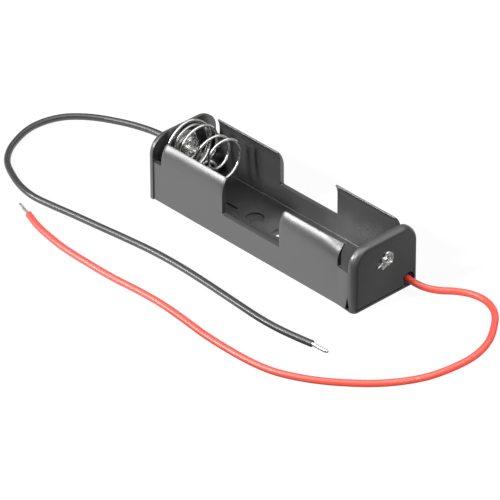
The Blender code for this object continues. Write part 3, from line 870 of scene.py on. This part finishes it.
def shape_tray():
    """Cut and join the tray's solids, round its edges, and return the result as one mesh."""
    tray = mesh_object("tray_form", channel())
    forms = [
        ("DIFFERENCE", mesh_object("gap_form", wall_gaps())),
        ("UNION", mesh_object("negative_end_form", end_wall(-1))),
        ("UNION", mesh_object("positive_end_form", end_wall(1))),
        ("DIFFERENCE", mesh_object("relief_form", corner_reliefs())),
        ("DIFFERENCE", mesh_object("foot_form", foot_line())),
        ("DIFFERENCE", mesh_object("mark_form", round_marks())),
        ("DIFFERENCE", mesh_object("bar_form", bar_marks())),
        ("DIFFERENCE", mesh_object("hole_form", round_holes())),
    ]
    for operation, form in forms:
        modifier = tray.modifiers.new(form.name, "BOOLEAN")
        modifier.operation = operation
        modifier.solver = "EXACT"
        # The arms of the cross overlap
        modifier.use_self = form.name == "bar_form"
        modifier.object = form
    edge = tray.modifiers.new("edge_break", "BEVEL")
    edge.width = TRAY_EDGE
    edge.segments = 2
    edge.limit_method = "ANGLE"
    edge.angle_limit = ROUNDED_ANGLE
    mesh = shown_mesh(tray)
    for item in [tray] + [form for _, form in forms]:
        bpy.data.objects.remove(item, do_unlink=True)
    return mesh


def even_shading(piece):
    """Weight the normals by face area, so that flat faces stay flat up to their rounded edges."""
    weighting = piece.modifiers.new("even_shading", "WEIGHTED_NORMAL")
    weighting.keep_sharp = True
    mesh = shown_mesh(piece)
    piece.modifiers.clear()
    piece.data = mesh


class OBJECT_OT_cell_holder_tray(bpy.types.Operator):
    """Shape the moulded tray"""
    bl_idname = "object.cell_holder_tray"
    bl_label = "Moulded tray"

    def execute(self, context):
        bm = bmesh.new()
        bm.from_mesh(shape_tray())
        tray = new_piece("moulded_tray", bm, moulding_finish(), ("holder_tray",))
        even_shading(tray)
        return {"FINISHED"}


# Contacts

def on_end(end, depth, y, z):
    """A point at a depth inwards from an end wall's outer face, with y and z from the cell's axis."""
    return Vector((end * (HALF_LENGTH - depth), y, AXIS_HEIGHT + z))


def plate_outline():
    """Round plate with a solder tab towards the lead hole, seen along the bay."""
    half_tab = TAB_WIDTH / 2
    side = math.asin(half_tab / PLATE_RADIUS)
    points = arc((0, 0), PLATE_RADIUS, TAB_ANGLE + side, TAB_ANGLE + 2 * math.pi - side, 64)
    along = (math.cos(TAB_ANGLE), math.sin(TAB_ANGLE))
    reach = TAB_REACH + half_tab - TAB_CORNER
    for turn in (-1, 1):
        across = turn * (half_tab - TAB_CORNER)
        centre = (reach * along[0] - across * along[1], reach * along[1] + across * along[0])
        start = TAB_ANGLE + (turn - 1) * QUARTER / 2
        points += arc(centre, TAB_CORNER, start, start + QUARTER, 6)
    return points


def plated_piece(name, rings, material, replaced):
    """Closed ring of sections in bright metal, which throws no light onto the moulding."""
    piece = new_piece(name, add_loft(bmesh.new(), rings, closed=True), material, (replaced,))
    piece.visible_diffuse = False


def build_plate(side, material):
    """Pressed contact plate, with its rim turned back onto the end wall."""
    end = ENDS[side]
    outline = plate_outline()
    rings = [[on_end(end, PLATE_FRONT[end] - drop * MM, y * share, z * share) for y, z in outline]
             for drop, share in PLATE_PROFILE]
    turns = [math.atan2(z, y) for y, z in outline]
    for drop in (PLATE_SHEET, 0.0):
        rings.append([on_end(end, PLATE_FRONT[end] - drop * MM, PLATE_HOLE * math.cos(a), PLATE_HOLE * math.sin(a))
                      for a in turns])
    plated_piece(side + "_plate_pressing", rings, material, side + "_contact_plate")


def petal_reach(radius, petals, around):
    """Radius of a star head at an angle, with its torn petals."""
    reach = radius * (1 + 0.025 * math.sin(5 * around + 0.7))
    for angle, tip, width in petals:
        off = (math.degrees(around) - angle + 180) % 360 - 180
        reach += (tip * MM - radius) * math.exp(-(off / width) ** 2)
    return reach


def head_points(head, way, around):
    """Half section of a rivet head at one angle, as (depth, radius) points from the barrel to the bore."""
    face, radius, profile, petals = head
    star = profile is STAR_HEAD
    reach = petal_reach(radius, petals, around) if star else radius
    points = []
    for k, (height, share) in enumerate(profile):
        lift = height
        if star:
            lift += STAR_RIPPLE[k] * (math.sin(3 * around + 0.9 * k) + 0.7 * math.sin(8 * around + 1.7 * k))
        rim = reach if share > HEAD_RIM else radius
        points.append((face + way * lift * MM, max(rim * share, RIVET_BORE)))
    points[0] = (face, RIVET_BARREL)
    return points


def build_rivet(side, material):
    """Hollow rivet through an end wall."""
    outer, inner = RIVET_HEADS[side]
    rings = []
    for i in range(RIVET_SIDES):
        around = 2 * math.pi * i / RIVET_SIDES
        section = head_points(outer, -1, around) + head_points(inner, 1, around)[::-1]
        rings.append([on_end(ENDS[side], depth, r * math.cos(around), r * math.sin(around)) for depth, r in section])
    plated_piece(side + "_rivet", rings, material, side + "_eyelet")


def tab_point(end, depth, along=0.0):
    """A point over the solder tab's end, at a depth and a distance along the tab."""
    reach = TAB_REACH + along
    return on_end(end, depth, reach * math.cos(TAB_ANGLE), reach * math.sin(TAB_ANGLE))


def build_solder(side, material):
    """Uneven dome of solder that runs out thin onto the tab."""
    end = ENDS[side]
    sides = 40
    rings = []
    for height, share in SOLDER_PROFILE:
        centre = tab_point(end, PLATE_FRONT[end] - SOLDER_SINK + height * (SOLDER_HEIGHT + SOLDER_SINK))
        ring = []
        for i in range(sides):
            around = 2 * math.pi * i / sides
            uneven = 1 + (1 - height) * (0.08 * math.sin(3 * around + 0.6) + 0.05 * math.sin(5 * around + end))
            size = SOLDER_RADIUS * share * uneven
            ring.append(centre + Vector((0, size * math.cos(around), size * math.sin(around))))
        rings.append(ring)
    new_piece(side + "_solder", add_loft(bmesh.new(), rings), material, (side + "_solder_joint",))


def build_root(colour, cover, tin):
    """Lead inside the tray: its cover ends over the floor, and the bare core rises into the solder."""
    end = LEADS[colour]["end"]
    radius = bpy.context.scene.holder_sizes.lead_diameter / 2
    start = lead_exit(end)
    along = Vector((end, 0, 0))
    cut = start - along * (ROOT_COVER + ROOT_GAP)
    path = [start, start - along * 2 * MM, cut + along * COVER_BREAK, cut]
    radii = [radius, radius, radius, radius - COVER_BREAK]
    bm = bmesh.new()
    sweep(bm, path, lambda i, angle: radii[i], 32)
    new_piece(colour + "_root_cover", bm, cover, (colour + "_lead_root",))
    inwards, across, up = ROOT_RISE
    knots = [cut + along * CORE_INSIDE, cut - along * inwards * MM + Vector((0, across, up)) * MM]
    knots += [tab_point(end, PLATE_FRONT[end] + height * MM, place * MM) for height, place in ROOT_KNOTS]
    twisted_core(colour + "_root_strands", even_path(knots, CORE_STEP), tin)


class OBJECT_OT_cell_holder_contacts(bpy.types.Operator):
    """Build the contact plates, rivets, lead roots and solder"""
    bl_idname = "object.cell_holder_contacts"
    bl_label = "Contacts"

    def execute(self, context):
        plate = nickel_finish("contact_plate_finish", 0.95, (0.2, 0.4), 0.02)
        rivet = nickel_finish("rivet_finish", 1.0, (0.16, 0.3), 0.02)
        solder = tin_finish("solder_finish", (0.2, 0.35))
        root_tin = tin_finish("root_strands_finish", (0.22, 0.42))
        for build, metal in ((build_plate, plate), (build_rivet, rivet), (build_solder, solder)):
            for side in ENDS:
                build(side, metal)
        for colour in LEADS:
            build_root(colour, cover_finish(colour, "root"), root_tin)
        return {"FINISHED"}


# Studio

def add_camera():
    data = bpy.data.cameras.new("photo_camera")
    data.lens = CAMERA_FOCUS * data.sensor_width / PHOTO_WIDTH
    data.clip_start, data.clip_end = CAMERA_CLIP
    camera = bpy.data.objects.new("photo_camera", data)
    bpy.context.scene.collection.objects.link(camera)
    forward = (CAMERA_TARGET - CAMERA_PLACE).normalized()
    level = forward.cross(Vector((0, 0, 1))).normalized()
    upright = level.cross(forward)
    right = math.cos(CAMERA_ROLL) * level + math.sin(CAMERA_ROLL) * upright
    up = math.cos(CAMERA_ROLL) * upright - math.sin(CAMERA_ROLL) * level
    turn = Matrix((right, up, -forward)).transposed()
    camera.matrix_world = Matrix.Translation(CAMERA_PLACE) @ turn.to_4x4()
    bpy.context.scene.camera = camera


def add_lamp(name, place, target, size, power, use):
    """Rectangular lamp. One that lights shows in no reflection, and one that shines lights nothing."""
    data = bpy.data.lights.new(name, "AREA")
    data.shape = "RECTANGLE"
    data.size, data.size_y = size
    data.energy = power
    lamp = bpy.data.objects.new(name, data)
    bpy.context.scene.collection.objects.link(lamp)
    lamp.location = place
    lamp.rotation_euler = (Vector(target) - Vector(place)).to_track_quat("-Z", "Y").to_euler()
    lamp.visible_diffuse = use == "lights"
    lamp.visible_glossy = use == "shines"


def background_share(finish):
    """1 for rays from the camera and for reflections, which see the plain white background."""
    seen = finish.node("ShaderNodeLightPath", {}, {}, "Is Camera Ray")
    total = seen + seen.sibling("Is Glossy Ray") + seen.sibling("Is Transmission Ray")
    return total.maths("MINIMUM", total, 1.0)


def floor_glow(finish):
    """White to the camera. In reflections its glow is painted dimmer to the right and dark towards the camera."""
    x = finish.node("ShaderNodeSeparateXYZ", {}, {"Vector": finish.place()})
    # Painted shade: the glow that reflections see falls off by place, not by light
    right = finish.span(x, FLOOR_RIGHT, 1.0, FLOOR_RIGHT_SHADE_LEVEL)
    front = finish.span((x - x.sibling("Y")) * math.sqrt(0.5), FLOOR_FRONT, 1.0, FLOOR_FRONT_SHADE_LEVEL)
    glossy = finish.node("ShaderNodeLightPath", {}, {}, "Is Glossy Ray")
    return FLOOR_WHITE - glossy * (FLOOR_WHITE - right * front)


def floor_finish(shadow_share):
    """Pale floor: white to the camera, with part of its colour left to take the object's shadow."""
    finish = Finish("floor_finish", {"Roughness": 0.9, "Specular IOR Level": 0.0})
    seen = background_share(finish)
    white = finish.node("ShaderNodeEmission", {}, {"Color": floor_glow(finish)})
    finish.vary("Base Color", FLOOR_BOUNCE + seen * (FLOOR_TONE - FLOOR_BOUNCE))
    share = seen * (1.0 - shadow_share)
    lit = Value(finish, finish.shader.outputs[0])
    mixed = finish.node("ShaderNodeMixShader", {}, {0: share, 1: lit, 2: white})
    finish.put(finish.tree.nodes["Material Output"].inputs["Surface"], mixed)
    return finish.material


def add_world(level, mirror_level):
    """Plain surroundings: soft fill for matt surfaces, and the white background in reflections."""
    world = bpy.data.worlds.new("studio_world")
    bpy.context.scene.world = world
    world.use_nodes = True
    sky = Sky(world)
    seen = background_share(sky)
    background = world.node_tree.nodes["Background"]
    sky.put(background.inputs["Strength"], level + seen * (mirror_level - level))
    background.inputs["Color"].default_value = (1.0, 1.0, 1.0, 1.0)


class SCENE_OT_cell_holder_stage(bpy.types.Operator):
    """Set the camera, floor, surroundings and soft lights"""
    bl_idname = "scene.cell_holder_stage"
    bl_label = "Stage"

    def execute(self, context):
        studio = context.scene.holder_studio
        context.scene.view_settings.view_transform = "Standard"
        add_camera()
        bm = bmesh.new()
        bmesh.ops.create_grid(bm, x_segments=8, y_segments=8, size=FLOOR_REACH)
        floor = mesh_object("floor", bm)
        floor.data.materials.append(floor_finish(studio.shadow_share))
        floor.location.z = -FLOOR_DROP
        for name, place, target, size, power, use in LAMPS:
            add_lamp(name, place, target, size, getattr(studio, power), use)
        side = bpy.data.objects["side_softbox"]
        side.light_linking.receiver_collection = bpy.data.collections.new(SIDE_LIT)
        add_world(studio.world_level, studio.mirror_level)
        return {"FINISHED"}


class VIEW3D_PT_cell_holder(bpy.types.Panel):
    """Settings and steps of the cell holder"""
    bl_label = "Cell Holder"
    bl_space_type = "VIEW_3D"
    bl_region_type = "UI"
    bl_category = "Cell Holder"

    def draw(self, context):
        for name, group in GROUPS.items():
            box = self.layout.box()
            for setting in group.__annotations__:
                box.prop(getattr(context.scene, name), setting)
        for step in STEPS:
            self.layout.operator(step.bl_idname)


STEPS = (
    SCENE_OT_cell_holder_stage,
    OBJECT_OT_cell_holder_leads,
    OBJECT_OT_cell_holder_spring,
    OBJECT_OT_cell_holder_tray,
    OBJECT_OT_cell_holder_contacts,
)
GROUPS = {
    "holder_sizes": HolderSizes,
    "holder_colours": HolderColours,
    "holder_studio": StudioSettings,
}


def register():
    for group in GROUPS.values():
        bpy.utils.register_class(group)
    for name, group in GROUPS.items():
        setattr(bpy.types.Scene, name, bpy.props.PointerProperty(type=group))
    for step in STEPS:
        bpy.utils.register_class(step)
    bpy.utils.register_class(VIEW3D_PT_cell_holder)


def unregister():
    bpy.utils.unregister_class(VIEW3D_PT_cell_holder)
    for step in reversed(STEPS):
        bpy.utils.unregister_class(step)
    for name in GROUPS:
        delattr(bpy.types.Scene, name)
    for group in GROUPS.values():
        bpy.utils.unregister_class(group)


def main():
    register()
    bpy.ops.scene.cell_holder_stage()
    bpy.ops.object.cell_holder_leads()
    bpy.ops.object.cell_holder_spring()
    bpy.ops.object.cell_holder_tray()
    bpy.ops.object.cell_holder_contacts()


if __name__ == "__main__":
    main()
